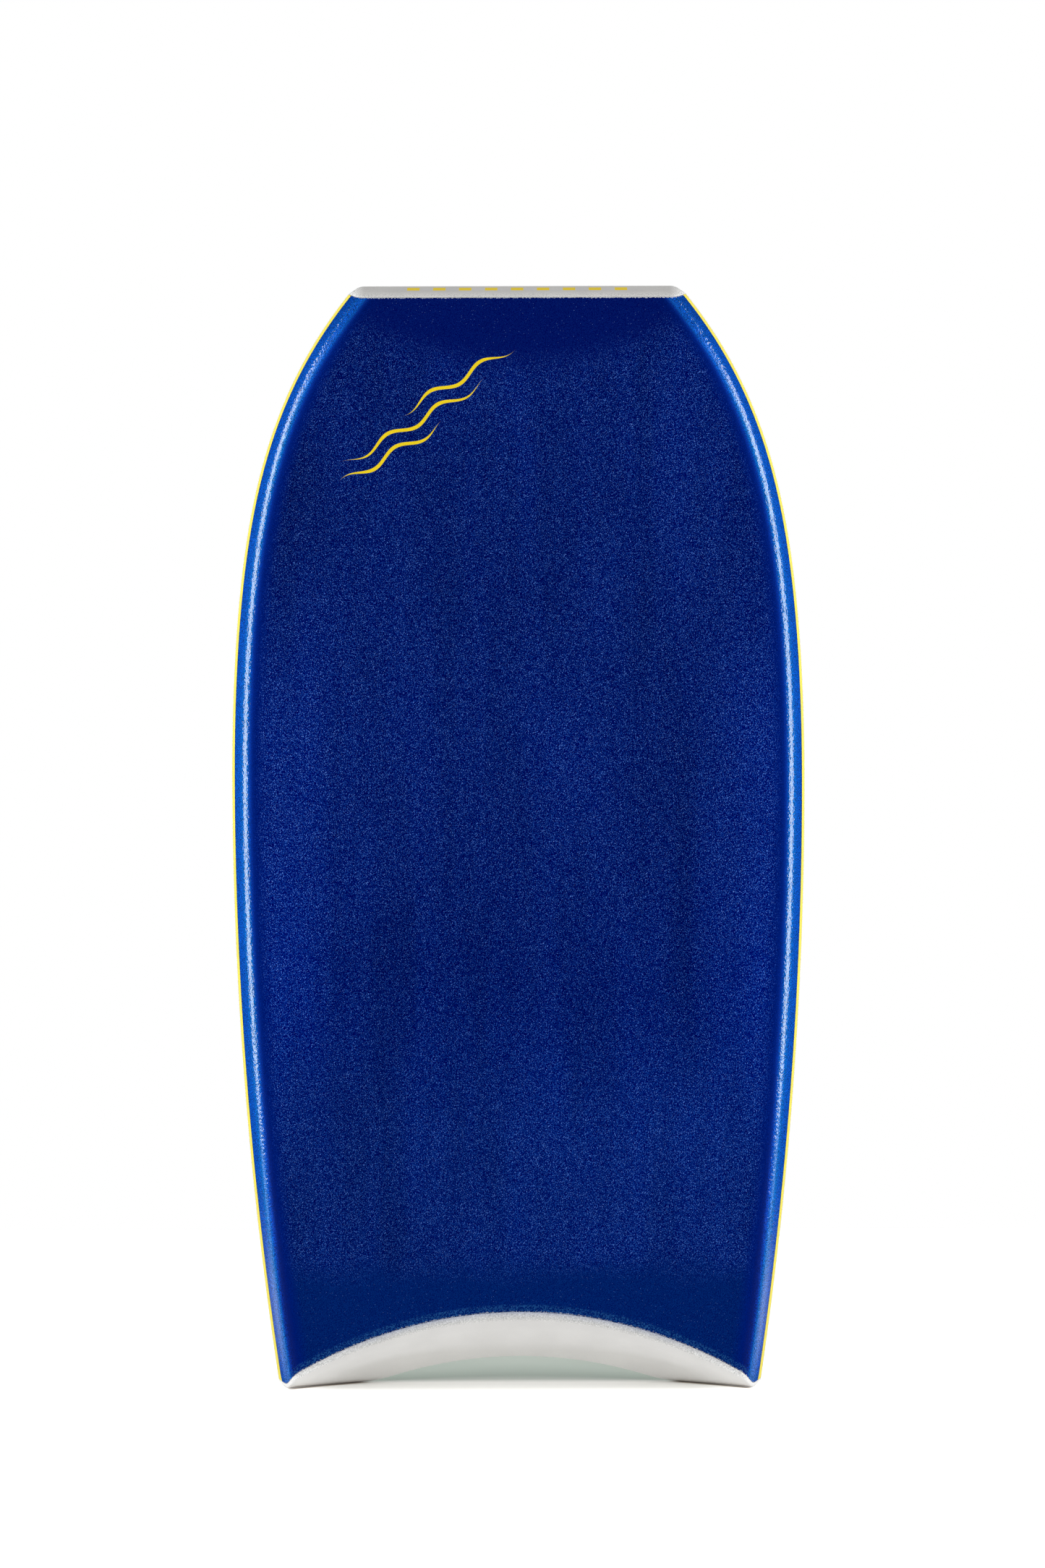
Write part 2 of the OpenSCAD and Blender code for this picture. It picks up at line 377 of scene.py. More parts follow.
def seat(piece, solid):
    """The piece rides on the board, hides the solid it dresses, and tells how many triangles it has."""
    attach(piece, "root")
    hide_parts(solid)
    triangles = sum(len(face.vertices) - 2 for face in piece.data.polygons)
    print(piece.name, "has", triangles, "triangles")


print("trimmed edges are rounded by", trim_round * 1000, "mm")

# %% Rows along the board
long_rows = 230
rim_rows = 10
rim_zone = 0.012


def station(start, along):
    """Height of a row: close rows near the cut tail, then even ones up to the nose seam."""
    row = along * long_rows
    if row <= rim_rows:
        return start + rim_zone * row / rim_rows
    return start + rim_zone + (seam_z - start - rim_zone) * (row - rim_rows) / (long_rows - rim_rows)


@functools.lru_cache(maxsize=None)
def cut_start(section, across, depth):
    """Height at which a column of a long layer starts on the cut tail, worked out once."""
    return on_the_cut(lambda z: section(across, z, depth), layer_gap)


def along_board(section, across, along, depth):
    """Place of a point on a long layer, whose section rule gives x and n at a height."""
    z = station(cut_start(section, across, depth), along)
    x, n = section(across, z, depth)
    return place(x, n, z)


print("the first", rim_rows, "of", long_rows, "rows lie within", rim_zone * 1000, "mm of the cut")

# %% [markdown]
# ## Deck skin
# The deck is one sheet of pebbled foam that lies flat, rolls over the ridge and runs down the bevel as
# far as the pinline. The columns of the grid are shared out by shape: few on the flat, many on the
# roll, where the highlight needs a round form. Near the tail the hot wire has pressed the skin down a
# little, which shows as a paler line above the white pad.

# %% Line of the deck
flat_columns = 20
roll_columns = 16
bevel_columns = 7
half_columns = flat_columns + roll_columns + bevel_columns


def deck_line(across, w, t, depth, end_n):
    """Point of the deck's line: the flat, the roll of the ridge, then the bevel down to a height."""
    centre = w - chine_run(t) - ridge(t) * math.tan(chine_angle / 2)
    radius = ridge(t) - depth
    column = abs(across) * half_columns
    if column <= flat_columns:
        x = centre * column / flat_columns
        n = t - depth
    else:
        turned = min(1.0, (column - flat_columns) / roll_columns) * chine_angle
        x = centre + radius * math.sin(turned)
        n = t - ridge(t) + radius * math.cos(turned)
        down = max(0.0, (column - flat_columns - roll_columns) / bevel_columns)
        x += (bevel_x(w, t, depth, end_n) - x) * down
        n += (end_n - n) * down
    return math.copysign(x, across), n


def deck_section(across, z, depth):
    """The skin ends a glue line above the pinline."""
    t = thickness(z)
    return deck_line(across, half_width(z), t, depth, pin_top(t) + bond)


print("the deck's line has", 2 * half_columns, "columns")

# %% Model the deck skin
pressed_width = 0.007
pressed_depth = 0.0009


def deck_top(across, along):
    """The outer face, pressed down along the tail."""
    start = cut_start(deck_section, across, 0)
    z = station(start, along)
    x, n = deck_section(across, z, 0)
    near = max(0.0, 1 - (z - start) / pressed_width)
    return place(x, n - pressed_depth * near * near * (3 - 2 * near), z)


def deck_under(across, along):
    """The glued face, one foam thickness below."""
    return along_board(deck_section, across, along, deck_t)


def deck_marks(across, along):
    """How far a point lies from the rail's edge, above the cut tail and below the nose seam."""
    start = cut_start(deck_section, across, 0)
    z = station(start, along)
    x, n = deck_section(across, z, 0)
    return half_width(z) - abs(x), z - start, seam_z - z


deck = start_sheet("deck_pebbled_skin", 2 * half_columns, long_rows, deck_top)
marks = map(deck_marks, read_attribute(deck, "across"), read_attribute(deck, "along"))
for mark_name, values in zip(("from_edge", "above_tail", "below_nose"), zip(*marks)):
    set_attribute(deck, mark_name, values)
extrude_to(deck, deck_under)
close_outwards()
soften_edges(deck, trim_round, segments=2)
seat(deck, "deck_skin")

# %% [markdown]
# ## Pinlines and rails
# Below the deck skin, on the same bevel, lies a thin yellow strip, and below that the white rail strip,
# which turns the widest corner and draws in towards the slick. A curve with a bevel profile could make
# such strips, but its profile would not lean with the rail, so they are narrow sheets like the deck.

# %% Model the pinlines
pinline_columns = 4
pinline_crown = 0.00025
pinline_round = 0.0003


def pinline_section(across, z, depth):
    """Across the strip from its lower edge to its upper edge, a little crowned on its outer face."""
    w = half_width(z)
    t = thickness(z)
    n = pin_low(t) + pinline_height * (across + 1) / 2
    crown = pinline_crown * (1 - across * across) if depth == 0 else 0.0
    return bevel_x(w, t, depth, n) + crown, n


def to_side(side, section):
    """The same section on the right, or mirrored to the left."""
    def mirrored(across, z, depth):
        x, n = section(across, z, depth)
        return side * x, n
    return mirrored


def strip(name, side, columns, section, depth):
    """A long strip: its outer face as a sheet, extruded to its inner face."""
    sided = to_side(side, section)
    piece = start_sheet(name, columns, long_rows, lambda u, v: along_board(sided, u, v, 0))
    extrude_to(piece, lambda u, v: along_board(sided, u, v, depth))
    close_outwards()
    return piece


sides = {"left": -1, "right": 1}
pinlines = []
for side_name, side in sides.items():
    pinline = strip("pinline_strip_" + side_name, side, pinline_columns, pinline_section, deck_t)
    soften_edges(pinline, pinline_round, segments=2)
    seat(pinline, "pinline_" + side_name)
    pinlines.append(pinline)

# %% Model the rails
lip_columns = 1
wall_columns = 9
rail_columns = lip_columns + wall_columns


def rail_section(across, z, depth):
    """Down from the shoulder under the pinline, round the widest line and in to the slick."""
    w = half_width(z)
    t = thickness(z)
    column = (1 - across) / 2 * rail_columns
    if column <= lip_columns:
        n = apex(t) + rail_lip * (1 - column / lip_columns)
        outer = bevel_x(w, t, 0, n)
    else:
        n = apex(t) + (slick_t + bond - apex(t)) * (column - lip_columns) / wall_columns
        outer = rail_x(w, t, n)
    if depth == 0:
        return outer, n
    return rail_x(w, t, n) - depth, n


rails = []
for side_name, side in sides.items():
    rail = strip("rail_strip_" + side_name, side, rail_columns, rail_section, rail_t)
    soften_edges(rail, trim_round, segments=3)
    seat(rail, "rail_" + side_name)
    rails.append(rail)

# %% [markdown]
# ## Slick
# The back of the board is one sheet of hard plastic, flat on the run and bent with the nose. Its edge
# is flush with the rail and only just rounded, so that it can hold in a wave. It is made as the deck
# is, from a sheet between the two rails.

# %% Model the slick
slick_columns = 64
slick_round = 0.0005


def slick_section(across, z, depth):
    """From rail to rail at one height above the outer face."""
    return across * rail_x(half_width(z), thickness(z), depth), depth


slick = start_sheet("slick_sheet", slick_columns, long_rows,
                    lambda u, v: along_board(slick_section, u, v, 0))
extrude_to(slick, lambda u, v: along_board(slick_section, u, v, slick_t))
close_outwards()
soften_edges(slick, slick_round, segments=2)
seat(slick, "slick")

# %% [markdown]
# ## Tail pad
# A strip of white foam is glued over the whole cut of the tail, and trimmed flush with the deck and the
# rails. Its trimmed edge shows the open cells of the foam as a grainy band, while the face of the pad
# is smooth. The sheet of the pad spans the section of the board, between the slick and the deck line,
# and it is extruded from the outer cut to the inner one, so its rim is that trimmed edge. A bevel that
# follows weights on the edges rounds the rim at the deck and leaves the glued edges nearly square.

# %% Section at the tail
def whole_section(across, share, w, t):
    """A point between the slick, at share 0, and the deck line, at share 1."""
    top_x, top_n = deck_line(across, w, t, 0, apex(t))
    low_x = across * (w - tuck(t))
    return low_x + (top_x - low_x) * share, top_n * share


def on_tail(gap):
    """Rule of the tail's cut, moved into the board by gap."""
    def where(across, share):
        def section(height):
            return whole_section(across, share, half_width(height), thickness(height))
        z = on_the_cut(section, gap)
        return place(*section(z), z)
    return where


print("the pad meets the slick at", [round(c, 4) for c in on_tail(0)(0, 0)])

# %% Model the tail pad
through_rows = 18
rim_round = 0.0026
glued_share = 0.2
border = 0.999
corner_start = 0.30
white_corner_shift = 0.02


def weigh_borders(piece):
    """The border at the deck gets the whole round, the other borders a small share of it."""
    far_side = [point.select for point in piece.data.vertices]
    across = read_attribute(piece, "across")
    along = read_attribute(piece, "along")
    weights = [0.0] * len(piece.data.edges)
    for edge in piece.data.edges:
        ends = edge.vertices
        on_side = all(abs(across[end]) > border for end in ends)
        at_slick = all(along[end] < 1 - border for end in ends)
        at_deck = all(along[end] > border for end in ends)
        if on_side or at_slick or at_deck:
            weights[edge.index] = glued_share
        if at_deck and not any(far_side[end] for end in ends):
            weights[edge.index] = 1.0
    layer = piece.data.attributes.new("bevel_weight_edge", "FLOAT", "EDGE")
    layer.data.foreach_set("value", weights)


def mark_rim(piece, where):
    """Keeps how far each point lies from the border at the deck, further at the corners, which stay white.
    """
    across = read_attribute(piece, "across")
    distances = []
    for point in piece.data.vertices:
        column = across[point.index]
        distance = -tail_pad_t if point.select else math.dist(point.co, where(column, 1.0))
        distances.append(distance + white_corner_shift * max(0.0, abs(column) - corner_start))
    set_attribute(piece, "from_rim", distances)


tail_pad = start_sheet("tail_pad", 2 * half_columns, through_rows, on_tail(0))
extrude_to(tail_pad, on_tail(tail_pad_t))
mark_rim(tail_pad, on_tail(0))
weigh_borders(tail_pad)
close_outwards()
soften_edges(tail_pad, rim_round, segments=5, by_weight=True)
seat(tail_pad, "tail_bumper")

# %% [markdown]
# ## Nose pad
# The pad on the nose is as wide and thick as the board and is ground round towards the deck, the slick
# and the rails. It is made as one would by hand: a sheet of the nose's section, extruded in small steps
# that shrink along a quarter of an ellipse. A bevel on a flat block would be as round on every side,
# while this pad is rounder at its corners.

# %% Model the nose pad
nose_steps = 10
nose_rows = 14


def nose_ring(turn):
    """Rule of the pad's section where its round has turned from 0 to a quarter."""
    drawn_in = 1 - math.cos(turn)
    rise = bond + (nose_pad_t - bond) * math.sin(turn)
    w = half_width(seam_z) - nose_lean * rise - nose_corner * drawn_in
    inset = nose_round * drawn_in
    t = nose_thickness - 2 * inset

    def where(across, share):
        x, n = whole_section(across, share, w, t)
        return place(x, n + inset, seam_z, rise)
    return where


def mark_selected(piece, name, value):
    """Keeps one number on the points that the last extrusion made."""
    values = read_attribute(piece, name)
    for point in piece.data.vertices:
        if point.select:
            values[point.index] = value
    set_attribute(piece, name, values)


nose_pad = start_sheet("nose_pad", 2 * half_columns, nose_rows, nose_ring(0))
set_attribute(nose_pad, "rounded", [0.0] * len(nose_pad.data.vertices))
for step in range(1, nose_steps + 1):
    extrude_to(nose_pad, nose_ring(math.pi / 2 * step / nose_steps))
    mark_selected(nose_pad, "rounded", step / nose_steps)
close_outwards()
soften_edges(nose_pad, trim_round, segments=2)
seat(nose_pad, "nose_bumper")

# %% [markdown]
# ## Finishes
# Every finish is procedural and reads Object coordinates, so its grain has one real size all over the
# board. A few small helpers keep the node trees short: one adds a node and plugs its inputs, one does
# a sum, one fades between two numbers, and one turns a colour as seen on a screen into the linear
# values that shaders use. A fade is kept as one group of numbers: where it starts and ends, and, if
# that isn't 0 and 1, what it goes from and to.

# %% Helpers for the node trees
def screen(colour):
    """A colour as seen on a screen, three numbers from 0 to 255, in linear values."""
    linear = []
    for value in colour:
        share = value / 255
        linear.append(share / 12.92 if share <= 0.04045 else ((share + 0.055) / 1.055) ** 2.4)
    return (*linear, 1.0)


def set_socket(tree, socket, value):
    """Links a socket to another node's output, or sets its plain value."""
    if isinstance(value, bpy.types.NodeSocket):
        tree.links.new(value, socket)
    else:
        socket.default_value = value


def node(tree, kind, inputs=None, **settings):
    """Adds a node with its settings and its inputs."""
    made = tree.nodes.new(kind)
    for name, value in settings.items():
        setattr(made, name, value)
    for name, value in (inputs or {}).items():
        set_socket(tree, made.inputs[name], value)
    return made


def sum_up(tree, operation, a, b=0.0):
    """One sum on two numbers."""
    return node(tree, "ShaderNodeMath", {0: a, 1: b}, operation=operation).outputs[0]


def times(tree, first, *others):
    """The product of some numbers."""
    for other in others:
        first = sum_up(tree, "MULTIPLY", first, other)
    return first


print("mid grey on a screen is", round(screen((128, 128, 128))[0], 3), "in linear light")

# %% Helpers for fades and colours
def fade(tree, value, start, end, low=0.0, high=1.0):
    """Goes smoothly from low, where the value is at start, to high, where it is at end."""
    span = {"Value": value, "From Min": start, "From Max": end, "To Min": low, "To Max": high}
    return node(tree, "ShaderNodeMapRange", span, interpolation_type="SMOOTHSTEP").outputs["Result"]


def band(tree, value, rise, fall, height=1.0):
    """Goes up over one stretch of the value and down again over another."""
    return times(tree, fade(tree, value, *rise), fade(tree, value, *fall, 0.0, height))


def without(tree, share):
    """What a share leaves over."""
    return fade(tree, share, 0.0, 1.0, 1.0, 0.0)


def mix(tree, share, first, second):
    """Goes from the first colour to the second."""
    made = node(tree, "ShaderNodeMix", {"Factor": share}, data_type="RGBA")
    colours = [socket for socket in made.inputs if socket.type == "RGBA"]
    set_socket(tree, colours[0], first)
    set_socket(tree, colours[1], second)
    return next(socket for socket in made.outputs if socket.type == "RGBA")


def tint(tree, colour, share, paint):
    """Lays a screen colour over another colour."""
    return mix(tree, share, colour, screen(paint))


def brighten(tree, colour, share):
    """A colour times a share."""
    return node(tree, "ShaderNodeVectorMath", {0: colour, "Scale": share}, operation="SCALE").outputs[0]


def ramp(tree, value, stops):
    """Goes through some screen colours, each at its own value."""
    first = stops[0][0]
    length = stops[-1][0] - first
    share = times(tree, sum_up(tree, "SUBTRACT", value, first), 1 / length)
    made = node(tree, "ShaderNodeValToRGB", {"Fac": share})
    line = made.color_ramp.elements
    line[0].color = screen(stops[0][1])
    line[1].color = screen(stops[-1][1])
    for stop, colour in stops[1:-1]:
        line.new((stop - first) / length).color = screen(colour)
    return made.outputs["Color"]


print("colours are kept as on a screen: white there is", screen((255, 255, 255))[:3])

# %% Helpers for grain and relief
askew = (0.6, 0.5, 0.4)


def attribute(tree, name):
    """A number kept on the points of the piece."""
    return node(tree, "ShaderNodeAttribute", attribute_name=name).outputs["Fac"]


def object_place(tree):
    """Object coordinates, which are the board's own metres."""
    return node(tree, "ShaderNodeTexCoord").outputs["Object"]


def board_place(tree):
    """X, Y and Z of a place on the board."""
    return node(tree, "ShaderNodeSeparateXYZ", {"Vector": object_place(tree)}).outputs


def askew_place(tree, stretch):
    """Object coordinates, stretched and turned: noise is weak on planes square to its axes."""
    squeeze = tuple(1 / share for share in stretch)
    turned = {"Vector": object_place(tree), "Scale": squeeze, "Rotation": askew}
    return node(tree, "ShaderNodeMapping", turned).outputs["Vector"]


def noise(tree, scale, detail=2.0, roughness=0.5, stretch=(1, 1, 1)):
    """Cloudy noise, with as many features to the metre as its scale."""
    inputs = {"Vector": askew_place(tree, stretch), "Scale": scale}
    inputs.update({"Detail": detail, "Roughness": roughness})
    return node(tree, "ShaderNodeTexNoise", inputs).outputs["Fac"]


def centred(tree, value, swing):
    """A noise as a swing to both sides of zero."""
    return times(tree, sum_up(tree, "SUBTRACT", value, 0.5), swing)


def cells(tree, scale):
    """Rounded cells: 0 in the middle of a cell, more towards its walls."""
    inputs = {"Vector": askew_place(tree, (1, 1, 1)), "Scale": scale}
    return node(tree, "ShaderNodeTexVoronoi", inputs).outputs["Distance"]


def bump(tree, height, distance, strength=1.0):
    """Relief of a distance in metres."""
    inputs = {"Height": height, "Distance": distance, "Strength": strength}
    return node(tree, "ShaderNodeBump", inputs).outputs["Normal"]


print("grain is turned by", [round(math.degrees(turn)) for turn in askew], "degrees")

# %% Helpers for a finish
def new_finish(name):
    """An empty material with its shader."""
    material = bpy.data.materials.new(name)
    material.use_nodes = True
    return material, material.node_tree, material.node_tree.nodes["Principled BSDF"]


def plug(tree, shader, **sockets):
    """Links or sets the shader's sockets, whose names are written with underscores."""
    for name, value in sockets.items():
        set_socket(tree, shader.inputs[name.replace("_", " ")], value)


def dress(material, *pieces):
    """Gives a finish to some pieces."""
    for piece in pieces:
        piece.data.materials.append(material)
    print(material.name, "on", ", ".join(piece.name for piece in pieces))


# %% [markdown]
# ## Deck foam
# The deck is closed-cell foam with a pebbled skin: a deep blue whose pebbles catch the light as fine
# paler glints less than a millimetre across. A picture of foam could be laid over it, but it would
# repeat and would need to be unwrapped. Here a noise as fine as the pebbles drives a ramp of blues,
# whose palest blues are painted glints, and the same noise gives the relief. At the nose and the tail
# the skin is smoother: the painted glints fade there, the blue is painted darker as shade, most at the
# nose, and only a few painted glints are left. Half way up, the sides are painted paler, a painted
# side light. Slow streaks along the sheet keep the blue from looking flat.

# %% Deck zones
nose_shade_zone = (0.045, 0.085)
nose_shade_bow = 1.8
tail_shade_zone = (0.098, 0.135)
tail_wander = 0.03
wander_scale = 30
streak_scale = 30
streak_stretch = (1, 1, 10)
streak_swing = 0.55
patch_scale = 7
patch_stretch = (1, 1, 1.6)
patch_swing = 0.6
side_light_zone = (0.15, 0.235, 0.0, 0.42)
side_light_heights = ((0.16, 0.42), (0.85, 0.62))


def glinting_skin(tree, spot):
    """1 where the open pebbled skin gets painted glints, 0 at the smoother ends, painted darker as shade.
    """
    # The painted shade at the nose is bowed, shorter at the sides, as the light falls on the nose.
    bow = times(tree, spot["X"], spot["X"], nose_shade_bow)
    from_nose = fade(tree, sum_up(tree, "ADD", attribute(tree, "below_nose"), bow), *nose_shade_zone)
    wander = centred(tree, noise(tree, wander_scale), tail_wander)
    from_tail = fade(tree, sum_up(tree, "ADD", spot["Z"], wander), *tail_shade_zone)
    return times(tree, from_nose, from_tail)


def slow_tone(tree, spot):
    """How bright the sheet is: streaks, patches, and sides half way up painted paler as side light."""
    streaks = centred(tree, noise(tree, streak_scale, stretch=streak_stretch), streak_swing)
    patches = centred(tree, noise(tree, patch_scale, stretch=patch_stretch), patch_swing)
    at_sides = fade(tree, sum_up(tree, "ABSOLUTE", spot["X"]), *side_light_zone)
    # Half way up the sides are painted paler, a painted side light.
    paler = times(tree, at_sides, band(tree, spot["Z"], *side_light_heights))
    tone = sum_up(tree, "ADD", sum_up(tree, "ADD", streaks, patches), 1.0)
    return sum_up(tree, "ADD", tone, paler)


# The two zones at the ends are painted darker, as shade, and lose most of the painted glints.
print("pressed smooth", nose_shade_zone[0], "m below the nose and up to", tail_shade_zone[0], "m at the tail")

# %% Pebbled blue
pebble_scale = 1400
pebble_stretch = (1, 1, 1.4)
pebble_roughness = 0.65
pebble_middle = 0.5165
pebble_spread = 0.050
# The palest blues at the top of the ramp are painted glints, where the pebbles catch the light.
deck_blues_and_glints = ((-4.0, (0, 0, 58)), (-2.33, (0, 0, 68)), (-1.645, (0, 0, 75)), (-0.674, (0, 8, 85)),
              (0.0, (0, 15, 93)), (0.674, (0, 28, 105)), (1.645, (7, 55, 132)),
              (2.33, (38, 79, 157)), (4.0, (104, 138, 208)))
quiet_tail = (0.2, 0.6, 0.84, 1.0)
tail_lift = (0.40, 0.22, 0.0, 0.022)
shade_grain = (0.38, 0.62)
shade_heights = (0.2, 0.9)
tail_shade_blues = ((0, 17, 85), (3, 40, 109))
nose_shade_blues = ((0, 6, 78), (4, 26, 98))
painted_glint_scale = 330
painted_glint_size = (0.12, 0.05, 0.0, 0.4)
painted_glint_blue = (110, 146, 214)


def pebbled_blue(tree, grain, spot):
    """A ramp of blues with painted glints where the skin is open, a darker painted shade at the ends."""
    swung = centred(tree, grain, fade(tree, spot["Z"], *quiet_tail))
    lifted = sum_up(tree, "ADD", fade(tree, spot["Z"], *tail_lift), 0.5 - pebble_middle)
    spread = times(tree, sum_up(tree, "ADD", swung, lifted), 1 / pebble_spread)
    lively = brighten(tree, ramp(tree, spread, deck_blues_and_glints), slow_tone(tree, spot))
    clear = fade(tree, grain, *shade_grain)
    at_tail, at_nose = (mix(tree, clear, *map(screen, blues)) for blues in (tail_shade_blues, nose_shade_blues))
    # At the smoother ends the blue is a painted shade.
    pressed = mix(tree, fade(tree, spot["Z"], *shade_heights), at_tail, at_nose)
    colour = mix(tree, glinting_skin(tree, spot), pressed, lively)
    # A few painted glints are laid all over, one in the middle of each fine cell.
    return tint(tree, colour, fade(tree, cells(tree, painted_glint_scale), *painted_glint_size), painted_glint_blue)


print("pebbles of about", round(1000 / pebble_scale, 2), "mm in", len(deck_blues_and_glints), "blues")

# %% [markdown]
# The bevel, where the skin is stretched, is a lighter blue with a gloss, and the gloss draws the bright
# line along the ridge. Its colour is a ramp over the distance from the rail's edge, in millimetres,
# which was kept on the points of the deck. The ramp is partly painted light: the bevel is painted
# paler where the soft boxes light it, and around the highlight the ridge is painted a greener blue, a
# painted reflection. Near the tail the bevel is painted a duller, paler blue, a painted reflection of
# the floor. Towards both ends of the board the ridge is tinted back to a purer blue where the painted
# reflection would show without its highlight, and a painted highlight of grainy pale blue runs along
# its crest.

# %% Bevel and ridge
bevel_blues_with_painted_light = ((3.1, (2, 68, 166)), (8.7, (4, 78, 178)), (11.5, (3, 97, 184)), (14.3, (2, 107, 180)),
              (16.3, (2, 95, 178)), (17.9, (1, 66, 162)), (19.5, (1, 44, 142)), (21.6, (0, 30, 116)),
              (24.6, (0, 24, 105)))
tail_squeeze = (0.02, 0.36, 1.25, 1.0)
nose_squeeze = (0.02, 0.07, 0.95, 1.0)
bevel_swing = (0.015, 0.021, 6.0, 1.5)
bevel_tone = 1.05
nose_bevel_shade = (0.0, 0.06, 0.72, 1.0)

floor_reflection_place = ((0.005, 0.008), (0.0138, 0.0118))
floor_reflection_heights = (0.17, 0.075, 0.0, 0.75)
floor_reflection_blue = (62, 106, 190)
ridge_place = ((0.0105, 0.0130), (0.0195, 0.0155))
ridge_at_nose = (0.16, 0.03, 0.0, 0.65)
ridge_at_tail = ((0.09, 0.17), (0.36, 0.24), 0.4)
ridge_blue = (8, 74, 200)
crest_place = ((0.0118, 0.0138), (0.0162, 0.0142))
crest_at_nose = ((0.02, 0.08), (0.26, 0.12), 0.5)
crest_at_tail = ((0.08, 0.20), (0.38, 0.26), 0.42)
crest_highlight_grain = (0.36, 0.6, 0.3, 1.0)
crest_highlight_blue = (112, 164, 234)


def bevel_blue_with_painted_light(tree, grain, from_edge, spot):
    """The blue of the bevel and the ridge: stretched skin, with painted light, reflections and highlight.
    """
    below_nose = attribute(tree, "below_nose")
    squeezed = times(tree, fade(tree, spot["Z"], *tail_squeeze), fade(tree, below_nose, *nose_squeeze))
    scaled = times(tree, from_edge, squeezed)
    colour = ramp(tree, times(tree, scaled, 1000), bevel_blues_with_painted_light)

    # Near the tail the bevel is tinted paler, a painted reflection of the floor.
    floor_reflection = times(tree, band(tree, from_edge, *floor_reflection_place), fade(tree, spot["Z"], *floor_reflection_heights))
    colour = tint(tree, colour, floor_reflection, floor_reflection_blue)

    # Towards the ends, where the highlight gives out, the painted reflection is tinted back to plain blue.
    at_nose = fade(tree, below_nose, *ridge_at_nose)
    near_end = sum_up(tree, "MAXIMUM", at_nose, band(tree, spot["Z"], *ridge_at_tail))
    colour = tint(tree, colour, times(tree, band(tree, from_edge, *ridge_place), near_end), ridge_blue)

    # A painted highlight runs along the crest of the ridge towards both ends, grainy with the pebbles.
    at_nose = band(tree, below_nose, *crest_at_nose)
    near_end = sum_up(tree, "MAXIMUM", at_nose, band(tree, spot["Z"], *crest_at_tail))
    crest = times(tree, band(tree, scaled, *crest_place), near_end, fade(tree, grain, *crest_highlight_grain))
    colour = tint(tree, colour, crest, crest_highlight_blue)

    swung = centred(tree, grain, fade(tree, from_edge, *bevel_swing))
    lively = sum_up(tree, "ADD", swung, bevel_tone)
    # Near the nose the bevel is painted darker, a painted shade.
    return brighten(tree, colour, times(tree, lively, fade(tree, below_nose, *nose_bevel_shade)))


print("the bevel's blues reach", bevel_blues_with_painted_light[-1][0], "mm in from the edge")

# %% [markdown]
# The deck is trimmed together with the two pads. The trim scuffs the skin just above the tail, and at
# both seams the white inside of the foam breaks through in a ragged line, so a noise moves the seam by
# a few millimetres before it is drawn.

# %% Worn rims
speckle_scale = 700
scuff_grain = (0.45, 0.62)
scuff_zone = (0.0080, 0.0054, 0.0, 0.6)
scuff_blue = (38, 92, 152)
ragged_scale = 650
ragged_middle = 0.54
ragged_at_tail = 0.006
ragged_at_nose = 0.0036
rim_soft = (0.0006, 0.0)
rim_white = (176, 184, 202)


def worn_rims(tree, colour):
    """Scuffs above the tail, and white foam that breaks through at both rims."""
    above_tail = attribute(tree, "above_tail")
    speckle = fade(tree, noise(tree, speckle_scale, roughness=0.6), *scuff_grain)
    colour = tint(tree, colour, times(tree, fade(tree, above_tail, *scuff_zone), speckle), scuff_blue)
    ragged = sum_up(tree, "SUBTRACT", noise(tree, ragged_scale, 3.0, 0.6), ragged_middle)
    at_rim = 0.0
    for distance, swing in ((above_tail, ragged_at_tail), (attribute(tree, "below_nose"), ragged_at_nose)):
        moved = sum_up(tree, "SUBTRACT", distance, times(tree, ragged, swing))
        at_rim = sum_up(tree, "MAXIMUM", fade(tree, moved, *rim_soft), at_rim)
    return tint(tree, colour, at_rim, rim_white)


print("ragged by", ragged_at_tail * 1000, "mm at the tail and", ragged_at_nose * 1000, "mm at the nose")

# %% [markdown]
# A few plain ripple lines decorate the upper left of the deck. They are worked out from the same Object
# coordinates: a place on the board is turned by the slant of the lines, and the distance from a sine
# curve tells whether it is inked. Each stroke thins towards both ends, as a brush does.

# %% Ripple lines on the deck
ripple_middle = (-0.087, 0.941)
ripple_slant = math.radians(30)
ripple_length = 0.056
ripple_height = 0.0042
ripple_stroke = 0.0034
ripple_tip = -0.0004
ripple_taper = 0.3
ripple_lines = ((0.0145, -0.030, 0.114), (0.0, -0.106, 0.078), (-0.0145, -0.114, 0.018))
ink_soft = 0.0003


def ripple_ink(tree, spot):
    """1 on the ripple lines, 0 beside them."""
    x = sum_up(tree, "SUBTRACT", spot["X"], ripple_middle[0])
    z = sum_up(tree, "SUBTRACT", spot["Z"], ripple_middle[1])
    along_x = math.cos(ripple_slant)
    along_z = math.sin(ripple_slant)
    u = sum_up(tree, "ADD", times(tree, x, along_x), times(tree, z, along_z))
    v = sum_up(tree, "SUBTRACT", times(tree, z, along_x), times(tree, x, along_z))
    wave = times(tree, sum_up(tree, "SINE", times(tree, u, 2 * math.pi / ripple_length)), ripple_height)
    above_wave = sum_up(tree, "SUBTRACT", v, wave)
    inked = 0.0
    for height, start, end in ripple_lines:
        reach = (end - start) / 2
        from_middle = sum_up(tree, "ABSOLUTE", sum_up(tree, "SUBTRACT", u, (start + end) / 2))
        half_stroke = fade(tree, from_middle, reach * ripple_taper, reach, ripple_stroke / 2, ripple_tip)
        off = sum_up(tree, "ABSOLUTE", sum_up(tree, "SUBTRACT", above_wave, height))
        here = fade(tree, sum_up(tree, "SUBTRACT", off, half_stroke), ink_soft, -ink_soft)
        inked = sum_up(tree, "MAXIMUM", here, inked)
    return inked


print(len(ripple_lines), "ripple lines of", ripple_stroke * 1000, "mm")

